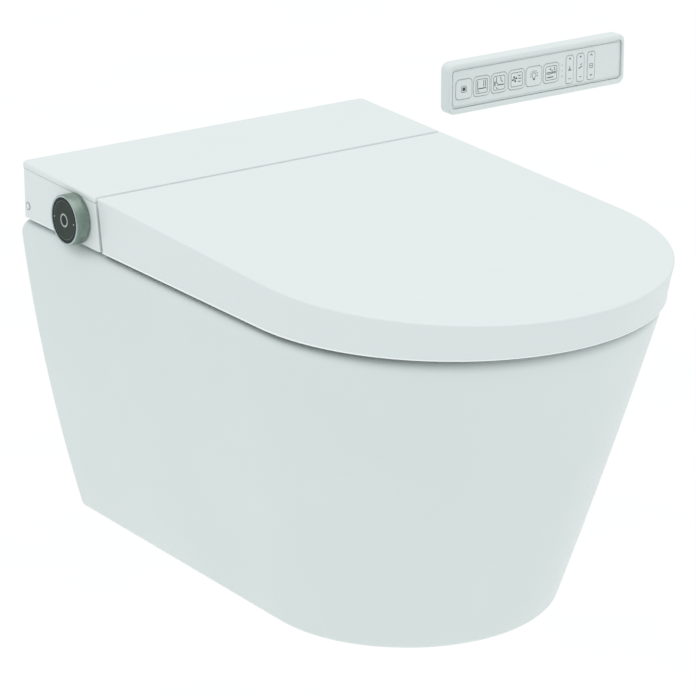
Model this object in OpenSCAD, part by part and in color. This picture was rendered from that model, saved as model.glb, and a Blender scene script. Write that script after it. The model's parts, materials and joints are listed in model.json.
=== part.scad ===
// Wall-hung shower toilet: ceramic pan, electric seat unit and wall remote.
// Origin: on the wall plane (y = 0), midway between the two wall bolts. +Z up, front towards -Y.

/* [Overall] */
// Width across the lid and the housing
unit_w = 380; // [376:1:384]
// Length from the wall to the front of the lid
unit_l = 590; // [584:1:596]
// Height of the pan's rim above the wall bolts
rim_z = 80; // [79:0.5:81]
// Depth of the pan's underside below the wall bolts
pan_drop = 216; // [211:1:221]

/* [Ceramic pan] */
// Length of the pan along its underside
pan_foot_l = 469; // [461:1:476]
// Half width of the pan along its underside
pan_foot_w = 135.5; // [132:0.5:140]
// Thickness of the ceramic
ceramic_t = 12; // [10:1:14]
// Spacing of the wall bolts
bolt_gap = 180; // [180:1:180]
// Drop from the wall bolts to the waste outlet
outlet_drop = 100; // [98:1:102]

/* [Lid and housing] */
// Height of the top above the wall bolts, at the wall
top_z = 136.5; // [136:0.5:137]
// Slope of the top, rise per unit length towards the wall
top_slope = 0.036; // [0.034:0.001:0.038]
// Depth of the housing, along its top
housing_l = 126.8; // [126:0.2:128]
// Wall thickness of the plastic covers
cover_t = 3; // [2.8:0.1:3.2]
// Clear gap between the lid and the housing
seam_gap = 2.2; // [2:0.1:2.4]

/* [Wand] */
// Downward slope of the wand
wand_tilt = 20; // [20:0.5:20.5]
// Radius of the wand's outer tube
wand_r = 8.5; // [8.4:0.1:8.6]
// Teeth on the drive pinion
pinion_teeth = 16; // [16:1:16]

/* [Dial] */
// Radius of the dial
dial_r = 23; // [22:0.5:23.5]
// Height of the dial off the housing's side
dial_h = 14; // [13:0.5:15]

/* [Remote] */
// Width of the remote's wall holder
holder_w = 224; // [222:1:228]
// Height of the remote's wall holder
holder_h = 52; // [52:1:54]

/* [Hidden] */
$fn = 48;

half_w = unit_w / 2;
skirt_z = rim_z + 3;                       // bottom edge of lid and housing
foot_z = -pan_drop;
seam_tan = tan(8.3);                       // slant of the seam
cover_edge = 6.5;                          // thickness of the cover's edge at the wall
hinge_y = -152.4;
hinge_z = 123;
pin_r = 3;
slide_fit = 0.06;                          // radial clearance of running fits
dial_y = -97;
dial_z = 106;
key_pitch = 22;
key_x = -92.5;                             // first key, from the holder's centre
key_size = 20.2;
rocker_pitch = 13.9;
rocker_x = 41.4;
rocker_w = 9.6;
rocker_h = 29.1;
screw_spots = [for (x = [-177, 177], y = [-14, -118]) [x, y]];
bolt_spots = [[-45, -22], [150, -22], [45, -100], [-150, -104]];
hinge_screw_spots = [for (x = [-94, 94], y = [-168, -179]) [x, y]];
key_drop = 1.6;                            // keys sit this far below the holder's centre
holder_x = 398;
holder_z = 131;
tip_y = -131;                              // wand's front face at rest
tip_z = 81;
tooth_module = 1;
pitch_r = pinion_teeth * tooth_module / 2;
rack_x = 13.1;                             // rack's pitch line from the wand's axis
pinion_z = 28;                             // pinion's centre along the wand
heater_box = [84, 58, 28];
gland_x = -64;
gland_z = 106;
valve_x = 138;
valve_y = -41;
elbow_z = 45;                              // water inlet's axis, below the deck

// ---------- outlines ----------

function mix(a, b, t) = a + (b - a) * t;
function top_at(y) = top_z + top_slope * y;
function cover_bottom_at(y) = top_z - cover_edge + (top_slope - 0.0092) * y;
function seam_y(z) = -housing_l - (132 - z) * seam_tan;

// D-shaped ring, counter-clockwise from above: straight sides and an elliptic front
function d_ring(w, y0, ys, l, z, n = 32) = concat(
    [[-w, y0, z]],
    [for (i = [0:n]) let (a = 180 + 180 * i / n) [w * cos(a), ys + (l + ys) * sin(a), z]],
    [[w, y0, z]]);

// Closed oval ring of the given squareness
function oval_ring(a, b, cy, z, p = 2.5, n = 48) = [for (i = [0:n - 1])
    let (t = 360 * i / n, c = cos(t), s = sin(t))
    [sign(c) * a * pow(abs(c), 2 / p), cy + sign(s) * b * pow(abs(s), 2 / p), z]];

// The same ring, laid on the sloping top, d below it
function on_top(ring, d) = [for (p = ring) [p.x, p.y, top_at(p.y) - d]];

// Solid through a stack of rings, from the lowest up
module loft(rings) {
    n = len(rings[0]);
    m = len(rings);
    polyhedron(
        points = [for (r = rings) each r],
        faces = concat(
            [[for (i = [0:n - 1]) i]],
            [for (j = [0:m - 2], i = [0:n - 1]) let (k = (i + 1) % n)
                each [[j * n + i, (j + 1) * n + i, (j + 1) * n + k],
                      [j * n + i, (j + 1) * n + k, j * n + k]]],
            [[for (i = [n - 1:-1:0]) (m - 1) * n + i]]));
}

// Both of a mirrored pair
module pair() {
    children();
    mirror([1, 0, 0]) children();
}

// Side view (y, z) extruded along X from x0 to x1
module side_extrude(x0, x1) {
    translate([x0, 0, 0]) rotate([90, 0, 90]) linear_extrude(x1 - x0) children();
}

module box(x0, x1, y0, y1, z0, z1) {
    translate([x0, y0, z0]) cube([x1 - x0, y1 - y0, z1 - z0]);
}

module x_cylinder(x0, x1, r) {
    translate([x0, 0, 0]) rotate([0, 90, 0]) cylinder(r = r, h = x1 - x0);
}

// Cylinder along Y, from y0 up to y1
module y_cylinder(y0, y1, r) {
    translate([0, y1, 0]) rotate([90, 0, 0]) cylinder(r = r, h = y1 - y0);
}

module tube_between(p, q, r) {
    d = q - p;
    translate(p) rotate([0, acos(d.z / norm(d)), atan2(d.y, d.x)]) cylinder(r = r, h = norm(d));
}

// ---------- ceramic pan ----------

function pan_w(z) = let (t = (z - foot_z) / (rim_z - foot_z))
    mix(pan_foot_w, half_w + 4.3, t + 0.45 * t * (1 - t));
function pan_l(z) = mix(pan_foot_l, unit_l - 16.3, (z - foot_z) / (rim_z - foot_z));
function pan_ring(z, inset, y0 = 0, n = 36) = let (w = pan_w(z) - inset, l = pan_l(z) - inset)
    d_ring(w, y0, w - l, l, z, n);

pan_levels = [[foot_z, 7], [foot_z + 2, 3], [foot_z + 7, 0], [-140, 0], [-70, 0], [0, 0], [40, 0],
    [rim_z - 12, 0], [rim_z - 6, 1.6], [rim_z - 1.6, 6], [rim_z, 11]];
hollow_levels = [[foot_z + ceramic_t, 3], [-140, 0], [-60, 0], [10, 0], [rim_z - 20, 2], [rim_z - 14, 8]];
// height, half width, half length, centre, squareness of the bowl
bowl_levels = [[-150, 28, 30, -272, 2], [-135, 42, 46, -278, 2], [-100, 64, 76, -298, 2.1],
    [-50, 102, 124, -334, 2.3], [20, 133, 158, -355, 2.5], [rim_z - 8, 144, 170, -361, 2.5],
    [rim_z + 1, 146, 172, -361, 2.5]];

function bowl_ring(level, grow, z = undef) = oval_ring(level[1] + grow, level[2] + grow, level[3],
    is_undef(z) ? level[0] : z, level[4], 44);

trap_path = [[0, -272, -128], [0, -212, -158], [0, -152, -62], [0, -112, -58], [0, -66, -outlet_drop]];

module trap_run(r) {
    for (i = [0:len(trap_path) - 2]) tube_between(trap_path[i], trap_path[i + 1], r);
    for (i = [1:len(trap_path) - 1]) translate(trap_path[i]) sphere(r = r + 0.6);
}

flush_path = [[0, -34, 35], [0, -60, 30], [0, -200, 2]];

module pan_shell() {
    difference() {
        loft([for (v = pan_levels) pan_ring(v[0], v[1])]);
        loft([for (v = hollow_levels) pan_ring(v[0], ceramic_t + v[1], 5, 28)]);
    }
}

module ceramic_pan() {
    color("#e3ebea")
    difference() {
        union() {
            pan_shell();
            loft([for (v = bowl_levels) bowl_ring(v, 11, v[0] == -150 ? -162 : min(v[0], rim_z - 6))]);
            box(-29, 29, -200, -96, 20, rim_z - 6);
            box(-116, 116, -14, 0, -44, rim_z - 10);
            trap_run(36);
            translate([0, 0, -outlet_drop]) {
                y_cylinder(-78, -50, 49);
                y_cylinder(-50, -2, 51);
            }
            translate([0, 0, 35]) y_cylinder(-46, -1, 38);
            tube_between(flush_path[1] + [0, 6, 1.2], flush_path[2], 27);
        }
        loft([for (v = bowl_levels) bowl_ring(v, 0)]);
        trap_run(27);
        translate([0, 0, -outlet_drop]) y_cylinder(-66, 1, 42);
        translate([0, 0, 35]) {
            y_cylinder(-30, 1, 27.5);
            y_cylinder(-40, -29, 26);
            y_cylinder(-58, -39, 20);
        }
        tube_between(flush_path[1] + [0, 8, 1.6], flush_path[2] + [0, -18, -3.6], 19);
        pair() translate([bolt_gap / 2, 0, 0]) y_cylinder(-20, 1, 14);
        box(-140, -60, -112, -30, rim_z - 20, rim_z + 1);
        box(60, 150, -112, -30, rim_z - 20, rim_z + 1);
        wand_place() box(-17, 17, -40, 13, -78, 46);
        for (p = bolt_spots) translate([p.x, p.y, 50]) cylinder(r = 3.4, h = 31);
        for (p = hinge_screw_spots) translate([p.x, p.y, 50]) cylinder(r = 2.2, h = 31);
    }
}

module flush_inlet_seal() {
    color("#3c4444") translate([0, 0, 35]) difference() {
        y_cylinder(-39.8, -30.2, 25.9);
        y_cylinder(-41, -29, 21.5);
    }
}

module waste_outlet_seal() {
    color("#3c4444") translate([0, 0, -outlet_drop]) difference() {
        union() {
            y_cylinder(-60, -50.5, 56);
            y_cylinder(-67, -60, 53);
        }
        y_cylinder(-68, -50, 49);
    }
}

module wall_fixing_sleeves() {
    color("#cfd6d6") pair() translate([bolt_gap / 2, 0, 0]) difference() {
        union() {
            y_cylinder(-19, 0, 14);
            y_cylinder(-22, -14, 18);
        }
        y_cylinder(-23, 1, 6.5);
    }
}

// ---------- base and housing ----------

module deck_gasket() {
    color("#5b6767") difference() {
        box(-168, 168, -122, -8, rim_z, skirt_z + 0.5);
        box(-157, 157, -112, -18, rim_z - 1, skirt_z + 1);
        box(-18, 18, -130, -100, rim_z - 1, skirt_z + 1);
    }
}

module base_plate() {
    plate_z = skirt_z + 0.5;
    color("#dfe5e4") difference() {
        union() {
            box(-186.8, 186.8, -130, -3, plate_z, plate_z + 3);
            for (p = screw_spots) translate([p.x, p.y, plate_z]) cylinder(r = 4.5, h = 14);
        }
        box(-16, 16, -131, -72, plate_z - 1, plate_z + 4);
        box(12, 32, -118, -92, plate_z - 1, plate_z + 4);
        box(62, 148.5, -110, -31, plate_z - 1, plate_z + 4);
        box(-118, -62, -110, -32, plate_z - 1, plate_z + 4);
        for (p = screw_spots) translate([p.x, p.y, plate_z - 1]) cylinder(r = 1.9, h = 16);
        for (p = bolt_spots) translate([p.x, p.y, plate_z - 1]) cylinder(r = 3.3, h = 5);
    }
}

module base_bolts() {
    color("#aab0b2") for (p = bolt_spots) translate([p.x, p.y, 0]) {
        translate([0, 0, rim_z - 26]) cylinder(r = 3, h = 32.5);
        translate([0, 0, rim_z + 6.5]) cylinder(r = 5.2, h = 3.5);
        translate([0, 0, rim_z - 20]) cylinder(r = 5.4, h = 5.5, $fn = 6);
    }
}

// Side view of the housing's outer wall, up to the line z = cover's lower edge
module housing_side() {
    front_top = cover_bottom_at(-housing_l);
    polygon([[0, skirt_z], [0, cover_bottom_at(0)],
        [seam_y(front_top), front_top], [seam_y(skirt_z), skirt_z]]);
}

module housing_shell() {
    wall = 2.5;
    inner_front = wall / cos(8.3);
    color("#dce5e4") difference() {
        side_extrude(-half_w, half_w) housing_side();
        side_extrude(-half_w + wall, half_w - wall)
            polygon([[-wall, skirt_z - 1], [-wall, 140],
                [seam_y(140) + inner_front, 140], [seam_y(skirt_z - 1) + inner_front, skirt_z - 1]]);
        translate([0, dial_y, dial_z]) x_cylinder(-half_w - 1, -half_w + 4, 5.5);
        translate([0, -9, 95]) x_cylinder(-half_w - 1, -half_w + 4, 3.6);
        translate([gland_x, 0, gland_z]) y_cylinder(-3, 1, 6.3);
        box(-16, 16, -140, -124, skirt_z - 1, 95);
        box(-72, -30, -140, -124, 88, 97);
        box(38, 62, -140, -124, 88, 94);
    }
}

module top_cover() {
    gap = 0.4;
    lip = 4;
    front_low = cover_bottom_at(-housing_l) + gap;
    color("#e9f0ef") difference() {
        side_extrude(-half_w, half_w) polygon([[0, cover_bottom_at(0) + gap], [0, top_at(0)],
            [-housing_l, top_at(-housing_l)], [seam_y(front_low), front_low]]);
        side_extrude(-half_w + lip, half_w - lip) polygon([[-lip, 120], [-lip, top_at(0) - cover_t],
            [-housing_l + lip, top_at(-housing_l) - cover_t], [-housing_l + lip, 120]]);
    }
}

module cover_screws() {
    color("#8f979a") for (p = screw_spots) translate([p.x, p.y, 0]) {
        translate([0, 0, skirt_z - 1]) cylinder(r = 1.8, h = 14);
        translate([0, 0, skirt_z - 2.4]) cylinder(r = 3.4, h = 2.7);
    }
}

module mains_gland() {
    color("#4a5254") translate([gland_x, -0.4, gland_z]) rotate([90, 0, 0]) difference() {
        union() {
            cylinder(r = 6, h = 18);
            translate([0, 0, 2.5]) cylinder(r = 8.5, h = 3.5, $fn = 6);
        }
        translate([0, 0, -1]) cylinder(r = 3.6, h = 20);
    }
}

module night_light() {
    color("#f4f1de") box(38.4, 61.6, -131.2, -127, 88.4, 93.6);
}

// ---------- hinges ----------

module at_hinge() {
    translate([0, hinge_y, hinge_z]) children();
}

module hinge_towers() {
    color("#9aa3a4") pair() at_hinge() difference() {
        union() {
            side_extrude(82, 106) polygon([[-34, -hinge_z + rim_z], [-9, -hinge_z + rim_z], [-9, -13],
                [-1.5, -3.8], [-3, 3], [-9, 1], [-30, -3], [-34, -7]]);
            x_cylinder(82, 106, 4.4);
        }
        x_cylinder(81, 107, pin_r);
        for (y = [-168, -179]) translate([94, y - hinge_y, rim_z - hinge_z - 1]) cylinder(r = 2.2, h = 16);
    }
}

module hinge_screws() {
    color("#8f979a") for (p = hinge_screw_spots) translate([p.x, p.y, rim_z - 20]) {
        cylinder(r = 2.1, h = 32);
        translate([0, 0, 1.5]) cylinder(r = 4, h = 4.4, $fn = 6);
    }
}

module hinge_pins() {
    color("#c3c9cb") pair() at_hinge() x_cylinder(60, 152, pin_r);
}

module hinge_dampers() {
    color("#6d7678") pair() at_hinge() difference() {
        x_cylinder(130, 150, 4.4);
        x_cylinder(129, 151, pin_r);
    }
}

// ---------- lid ----------

// Ring of the lid, s from 0 at the skirt's edge to 1 at the top
function lid_outline(s, inset, y0) =
    let (l = mix(unit_l - 9.6, unit_l, s) - inset, ys = mix(-387, -394.5, s))
    d_ring(half_w - inset, y0, ys, l, 0, 40);
function lid_rear(z) = seam_y(z) - seam_gap;
function lid_level(s, inset) =
    let (zr = mix(skirt_z, 131.9, s), ring = lid_outline(s, inset, lid_rear(zr)))
    [for (p = ring) [p.x, p.y, mix(skirt_z, top_at(p.y), s)]];
function lid_top_level(d, inset, rear = 0) = on_top(lid_outline(1, inset, lid_rear(132) - rear), d);

module lid_shell() {
    lip = 3;
    color("#e9f0ef") difference() {
        loft([lid_level(0, 1.2), lid_level(0.02, 0.3), lid_level(0.06, 0), lid_level(0.5, 0),
            lid_top_level(2.4, 0, 0.9), lid_top_level(0.8, 0.6, 1.8), lid_top_level(0, 2.4, 3.6)]);
        loft([[for (p = lid_outline(0, cover_t, lid_rear(128) - lip)) [p.x, p.y, skirt_z - 2]],
            [for (p = lid_outline(0.5, cover_t, lid_rear(128) - lip)) [p.x, p.y, 99]],
            on_top(lid_outline(0.9, cover_t + 0.6, lid_rear(128) - lip), cover_t + 1),
            on_top(lid_outline(0.9, cover_t + 3, lid_rear(128) - lip), cover_t)]);
        box(-half_w + cover_t, half_w - cover_t, -150, -120, skirt_z - 2, 123);
        at_hinge() side_extrude(-half_w - 1, half_w + 1)
            polygon([[9, -44], [30, -44], [30, -31], [20, -31]]);
    }
}

lid_bumper_spots = [[-120, -240], [120, -240], [-96, -470], [96, -470]];

module lid_liner() {
    gap = cover_t + 0.1;
    color("#e4ebea") difference() {
        loft([on_top(lid_outline(0.9, 8, -196), gap + 2.4), on_top(lid_outline(0.9, 8, -196), gap)]);
        for (p = lid_bumper_spots) translate([p.x, p.y, 100]) cylinder(r = 3, h = 40);
    }
}

module lid_bumpers() {
    color("#c9d2d2") for (p = lid_bumper_spots) let (low = seat_top_at(p.y) + 1.5)
        translate([p.x, p.y, low]) cylinder(r = 3, h = top_at(p.y) - cover_t - 0.12 - low);
}

module lid_hinge_arms() {
    color("#9aa3a4") pair() at_hinge() difference() {
        union() {
            side_extrude(110, 126)
                polygon([[-34, 3.6], [-30, 0], [-4, -3], [3, -2.6], [6, 4.9], [0, 4.9], [-34, 3.7]]);
            x_cylinder(110, 126, 4.4);
        }
        x_cylinder(109, 127, pin_r + slide_fit);
    }
}

// ---------- seat ----------

seat_low = skirt_z + 1;
seat_rear = -162;
function seat_top_at(y) = 103 + (y + 570) * 0.016;
function seat_ring(z, inset) =
    d_ring(half_w - 5.6 - inset, seat_rear - inset, -372, unit_l - 19 - inset, z, 32);
function seat_top_ring(d, inset) = [for (p = seat_ring(0, inset)) [p.x, p.y, seat_top_at(p.y) - d]];
function hole_ring(z, grow) = oval_ring(105 + grow, 149 + grow, -371, z, 2.3, 48);

// Room for the hinge towers, grown all round
module tower_notches(grow) {
    pair() box(80 - grow, 108 + grow, -196 - grow, -140, seat_low - 2, 120);
}

module seat_top() {
    color("#e9f0ef") difference() {
        loft([seat_ring(seat_low, 0.8), seat_ring(seat_low + 1, 0), seat_top_ring(5, 0),
            seat_top_ring(1.6, 1.4), seat_top_ring(0, 5)]);
        loft([hole_ring(seat_low - 2, 0), hole_ring(seat_low + 9, 0), hole_ring(seat_low + 13, 3),
            hole_ring(seat_low + 16, 10), hole_ring(seat_low + 18.6, 24), hole_ring(seat_low + 24, 75)]);
        difference() {
            loft([seat_ring(seat_low - 1, 4), seat_ring(seat_low + 8, 4)]);
            loft([hole_ring(seat_low - 2, 4), hole_ring(seat_low + 9, 4)]);
            tower_notches(4);
        }
        tower_notches(0);
    }
}

module seat_underside() {
    color("#dde4e3") difference() {
        loft([seat_ring(seat_low, 4.3), seat_ring(seat_low + 3, 4.3)]);
        loft([hole_ring(seat_low - 2, 4.3), hole_ring(seat_low + 4, 4.3)]);
        tower_notches(4.3);
    }
}

module seat_heater() {
    color("#c98f5a") difference() {
        loft([seat_ring(seat_low + 6.6, 9), seat_ring(seat_low + 7.8, 9)]);
        loft([hole_ring(seat_low + 6, 12), hole_ring(seat_low + 9, 12)]);
        tower_notches(10);
    }
}

module seat_bumpers() {
    color("#c9d2d2") pair() {
        translate([151, -250, rim_z]) cylinder(r = 6, h = seat_low - rim_z);
        translate([124, -487, rim_z]) cylinder(r = 6, h = seat_low - rim_z);
    }
}

// Height of the seat's top under a hinge arm, from the pin
function arm_foot(y) = seat_top_at(hinge_y + y) - hinge_z + 0.05;

module seat_hinge_arms() {
    color("#9aa3a4") pair() at_hinge() difference() {
        union() {
            side_extrude(62, 78) polygon([[-36, arm_foot(-36)], [-12, arm_foot(-12)], [-6, -8], [-1, -4],
                [-2, 2], [-10, -3], [-34, -10.5]]);
            x_cylinder(62, 78, 4.4);
        }
        x_cylinder(61, 79, pin_r + slide_fit);
    }
}

// ---------- dial and power button ----------

module at_dial() {
    translate([-half_w, dial_y, dial_z]) children();
}

module dial_ring() {
    face = -dial_h;
    color("#768983") at_dial() difference() {
        union() {
            x_cylinder(face, -0.4, dial_r);
            x_cylinder(-1, 9, 5);
        }
        x_cylinder(face - 1, face + 3.6, dial_r - 2.2);
        x_cylinder(face, 10, 3.2);
    }
}

module dial_glass() {
    face = -dial_h;
    color("#424f48") at_dial() {
        x_cylinder(face + 0.2, face + 2.2, dial_r - 2.5);
        x_cylinder(face + 2, 10.5, 2.9);
    }
}

module dial_encoder() {
    color("#3a5a48") at_dial() difference() {
        translate([2.6, -13, -13]) cube([10.4, 26, 26]);
        x_cylinder(2, 9.5, 5 + slide_fit);
        x_cylinder(9, 12.2, 3.4);
    }
}

module power_button() {
    color("#dce5e4") translate([-half_w, -9, 95]) {
        x_cylinder(-0.5, 4.5, 3.2);
    }
}

// ---------- electronics and water ----------

module control_board() {
    color("#2f6b4a") {
        box(-170, -82, -60, -14, 100, 101.6);
        for (x = [-160, -140, -118]) box(x, x + 14, -50, -34, 101.5, 109);
        for (x = [-150, -130, -110]) translate([x, -22, 101.5]) cylinder(r = 4, h = 12);
        for (x = [-166, -90], y = [-56, -18]) translate([x, y, skirt_z + 3.5]) cylinder(r = 2.5, h = 13.6);
    }
}

module water_heater() {
    color("#b9bfc0") translate([63, -109, 88]) difference() {
        union() {
            cube(heater_box);
            translate([-6, 8, 8]) cube([8, 12, 10]);
            for (x = [8, heater_box.x - 8]) translate([x, 16, heater_box.z - 1]) cylinder(r = 5, h = 6);
            translate([-5, 26, -1.5]) cube([heater_box.x + 10, 10, 3]);
        }
        for (x = [8, heater_box.x - 8]) translate([x, 16, heater_box.z - 4]) cylinder(r = 3, h = 12);
    }
}

module inlet_valve() {
    color("#d9d2b8") translate([valve_x, valve_y, 0]) difference() {
        union() {
            translate([0, 0, elbow_z]) {
                y_cylinder(-12, 11, 12.5);
                y_cylinder(11, 29, 10.48);
                cylinder(r = 8, h = 90 - elbow_z);
            }
            translate([-29, -8.5, 88]) cube([40, 17, 20]);
            translate([1, 0, 107]) cylinder(r = 8, h = 14);
        }
        translate([0, 0, elbow_z]) {
            y_cylinder(-8, 30, 6);
            cylinder(r = 5, h = 91 - elbow_z);
        }
    }
}

hose_r = 3;
port_x = 71;
port_y = -93;
hose_route = [[100, valve_y, 98], [54, valve_y, 98], [54, valve_y, 125], [54, port_y, 125],
    [port_x, port_y, 125], [port_x, port_y, 121.2]];

module supply_hose() {
    color("#b7c3c4") {
        for (i = [0:len(hose_route) - 2]) tube_between(hose_route[i], hose_route[i + 1], hose_r);
        for (i = [1:len(hose_route) - 2]) translate(hose_route[i]) sphere(r = hose_r + 0.5);
        translate(hose_route[0]) x_cylinder(-1, 9, hose_r + 1);
        translate([port_x, port_y, 119.4]) cylinder(r = 2.8, h = 2.4);
    }
}

// ---------- dryer ----------

fan_x = -46;
fan_y = -72;
fan_z = 97;

module dryer_scroll() {
    color("#cdd5d5") translate([fan_x, fan_y, 0]) difference() {
        union() {
            translate([0, 0, fan_z - 5]) cylinder(r = 27, h = 26);
            translate([-25.5, -54, 89]) cube([39, 40, 7.4]);
            translate([-25.5, -50, fan_z - 5]) cube([39, 42, 16]);
        }
        translate([0, 0, fan_z - 3]) cylinder(r = 25, h = 22);
        translate([0, 0, fan_z + 18]) cylinder(r = 15, h = 4);
        translate([-23.5, -48, fan_z - 3]) cube([35, 42, 12]);
        translate([-23.5, -56, 90.5]) cube([35, 12, 5]);
        translate([-23.5, -47, 90.5]) cube([35, 8, 6]);
        translate([0, 0, fan_z - 6]) cylinder(r = 2.6, h = 4);
    }
}

module dryer_motor() {
    color("#7d8587") translate([fan_x, fan_y, 0]) {
        translate([0, 0, 86.6]) cylinder(r = 13, h = 5.2);
        translate([0, 0, 91]) cylinder(r = 2, h = 20);
    }
}

module dryer_fan() {
    blades = 14;
    color("#4c5557") translate([fan_x, fan_y, fan_z]) difference() {
        union() {
            cylinder(r = 4, h = 16);
            cylinder(r = 21, h = 1.6);
            for (i = [0:blades - 1]) rotate(360 * i / blades) translate([14, -0.6, 1]) cube([6.8, 1.2, 15]);
        }
        translate([0, 0, -1]) cylinder(r = 2 + slide_fit, h = 18);
    }
}

// ---------- wand ----------

// Local +Z runs up and back along the wand from its front face, local +Y faces down
module wand_place() {
    translate([0, tip_y, tip_z]) rotate([wand_tilt - 90, 0, 0]) children();
}

module wand_guide() {
    color("#cdd5d5") wand_place() difference() {
        union() {
            box(-11.5, 11.5, -10.6, 11, 5, 100);
            box(9, 30, -8.6, -6.4, 17, 42);
            box(-11.5, 7, 8, 26, 74, 84);
        }
        translate([0, 0, 4]) cylinder(r = wand_r + slide_fit, h = 98);
        box(7.3, 13, -3.6, 3.6, 4, 102);
        box(11.4, 12.6, -6.5, 12, 4, 102);
        translate([rack_x + pitch_r, 0, pinion_z]) rotate([90, 0, 0]) translate([0, 0, 5])
            cylinder(r = 2.2, h = 5);
        box(-12, 12, -11, 30, 4, 5.2);
        rotate([90 - wand_tilt, 0, 0]) box(-40, 40, -200, 200, -60, skirt_z + 3.5 - tip_z);
    }
}

module wand_motor() {
    color("#7d8587") wand_place() translate([rack_x + pitch_r, 0, pinion_z]) rotate([90, 0, 0]) {
        translate([0, 0, 8.6]) cylinder(r = 9, h = 16);
        translate([0, 0, -2.6]) cylinder(r = 1.5, h = 12);
    }
}

// Involute flank of the pinion, as points (radius, half angle)
base_r = pitch_r * cos(20);
function inv_deg(r) = let (a = acos(min(1, base_r / r))) tan(a) * 180 / PI - a;
tooth_half = 90 / pinion_teeth - 0.75;
function flank_angle(r) = tooth_half + inv_deg(pitch_r) - inv_deg(max(r, base_r));
flank_r = [6.75, base_r + 0.02, 8, 8.5, 8.9];
module pinion_outline() {
    polygon([for (i = [0:pinion_teeth - 1]) let (c = 180 + 360 * i / pinion_teeth) each concat(
        [for (r = flank_r) [r * cos(c - flank_angle(r)), r * sin(c - flank_angle(r))]],
        [for (k = [len(flank_r) - 1:-1:0]) let (r = flank_r[k])
            [r * cos(c + flank_angle(r)), r * sin(c + flank_angle(r))]])]);
}

module wand_pinion() {
    color("#e7e2cf") wand_place() translate([rack_x + pitch_r, 0, pinion_z]) rotate([90, 0, 0])
        translate([0, 0, -2.5]) difference() {
            linear_extrude(5) pinion_outline();
            translate([0, 0, -1]) cylinder(r = 1.5 + slide_fit, h = 7);
        }
}

// Rack teeth stand off the tube's side, gaps centred where a pinion tooth points at rest
module rack_teeth(z0, z1) {
    pitch = PI * tooth_module;
    first = ceil((z0 - pinion_z) / pitch - 0.5);
    last = floor((z1 - pinion_z) / pitch - 0.5);
    for (i = [first:last]) let (z = pinion_z + (i + 0.5) * pitch)
        translate([0, 2.5, 0]) rotate([90, 0, 0]) linear_extrude(5)
            polygon([[rack_x - 1.4, z - 1.16], [rack_x + 0.9, z - 0.36], [rack_x + 0.9, z + 0.36],
                [rack_x - 1.4, z + 1.16]]);
}

module wand_tube() {
    color("#e4e9e9") wand_place() difference() {
        union() {
            translate([0, 0, 10]) cylinder(r = wand_r, h = 110);
            box(6, rack_x - 1.3, -3, 3, 14, 120);
            rack_teeth(16, 119.5);
        }
        translate([0, 0, 9]) cylinder(r = 6.2 + slide_fit, h = 84);
        translate([0, 0, 90]) cylinder(r = 2.5, h = 31);
    }
}

module wand_nozzle() {
    color("#d3d9da") wand_place() difference() {
        union() {
            translate([0, 0, 2]) cylinder(r = 6.2, h = 80);
            translate([0, 0, 1]) cylinder(r = 7.6, h = 8.4);
        }
        translate([0, 0, 8]) cylinder(r = 2.4, h = 75);
        for (z = [4, 6.4], x = [-2, 0, 2]) translate([x, -2, z]) rotate([90, 0, 0])
            cylinder(r = 0.5, h = 7);
    }
}

module wand_shield() {
    color("#e9f0ef") wand_place() box(-13, 13, -10.5, 10.5, -1.6, 1);
}

// ---------- remote ----------

module at_remote() {
    translate([holder_x, 0, holder_z]) children();
}

// Rounded plate in the wall plane, from y0 (front) to y1 (back)
module wall_plate(w, h, r, y0, y1) {
    translate([0, y1, 0]) rotate([90, 0, 0]) linear_extrude(y1 - y0) {
        square([w - 2 * r, h], center = true);
        square([w, h - 2 * r], center = true);
        for (x = [-1, 1], z = [-1, 1]) translate([x * (w / 2 - r), z * (h / 2 - r)]) circle(r = r);
    }
}

panel_w = 216;
panel_h = 40;

module remote_holder() {
    color("#e4edec") at_remote() difference() {
        wall_plate(holder_w, holder_h, 8, -14, 0);
        wall_plate(panel_w + 1, panel_h + 1, 4.5, -15, -3);
        for (x = [-80, 80]) translate([x, 0, 0]) y_cylinder(-4, 1, 2.2);
    }
}

module remote_case() {
    color("#dfe8e7") at_remote() difference() {
        wall_plate(panel_w, panel_h, 4, -11.2, -3.2);
        wall_plate(panel_w - 4, panel_h - 4, 3, -12, -5);
    }
}

function key_centre(i) = [key_x + i * key_pitch, 0, -key_drop];
function rocker_centre(i) = [rocker_x + i * rocker_pitch, 0, -key_drop];

module remote_face() {
    color("#dfe8e7") at_remote() difference() {
        wall_plate(panel_w - 4.4, panel_h - 4.4, 2.8, -12, -10.2);
        for (i = [0:5]) translate(key_centre(i)) wall_plate(key_size + 0.8, key_size + 0.8, 4.8, -13, -9);
        for (i = [0:2]) translate(rocker_centre(i))
            wall_plate(rocker_w + 0.8, rocker_h + 0.8, 3.4, -13, -9);
        for (z = [-5.6, 0, 5.6]) translate([32, 0, z - key_drop]) y_cylinder(-13, -9, 0.6);
    }
}

module remote_board() {
    color("#2f6b4a") at_remote() {
        wall_plate(205, 30, 2, -7.6, -6.4);
        for (i = [0:5]) translate(key_centre(i)) y_cylinder(-8.4, -7.5, 3);
        for (i = [0:2], z = [-10, 10]) translate(rocker_centre(i) + [0, 0, z]) y_cylinder(-8.2, -7.5, 2);
    }
}

module remote_batteries() {
    color("#b9bfc0") at_remote() for (x = [84, 97]) translate([x, 0, 0]) {
        y_cylinder(-9.9, -7.7, 6);
    }
}

module key_cap(i) {
    color("#e4edec") at_remote() translate(key_centre(i)) {
        wall_plate(key_size, key_size, 4.4, -12.4, -10.4);
        y_cylinder(-10.5, -9.4, 2);
    }
}
module key_stop() { key_cap(0); }
module key_rear_wash() { key_cap(1); }
module key_front_wash() { key_cap(2); }
module key_dryer() { key_cap(3); }
module key_light() { key_cap(4); }
module key_flush() { key_cap(5); }

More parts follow.
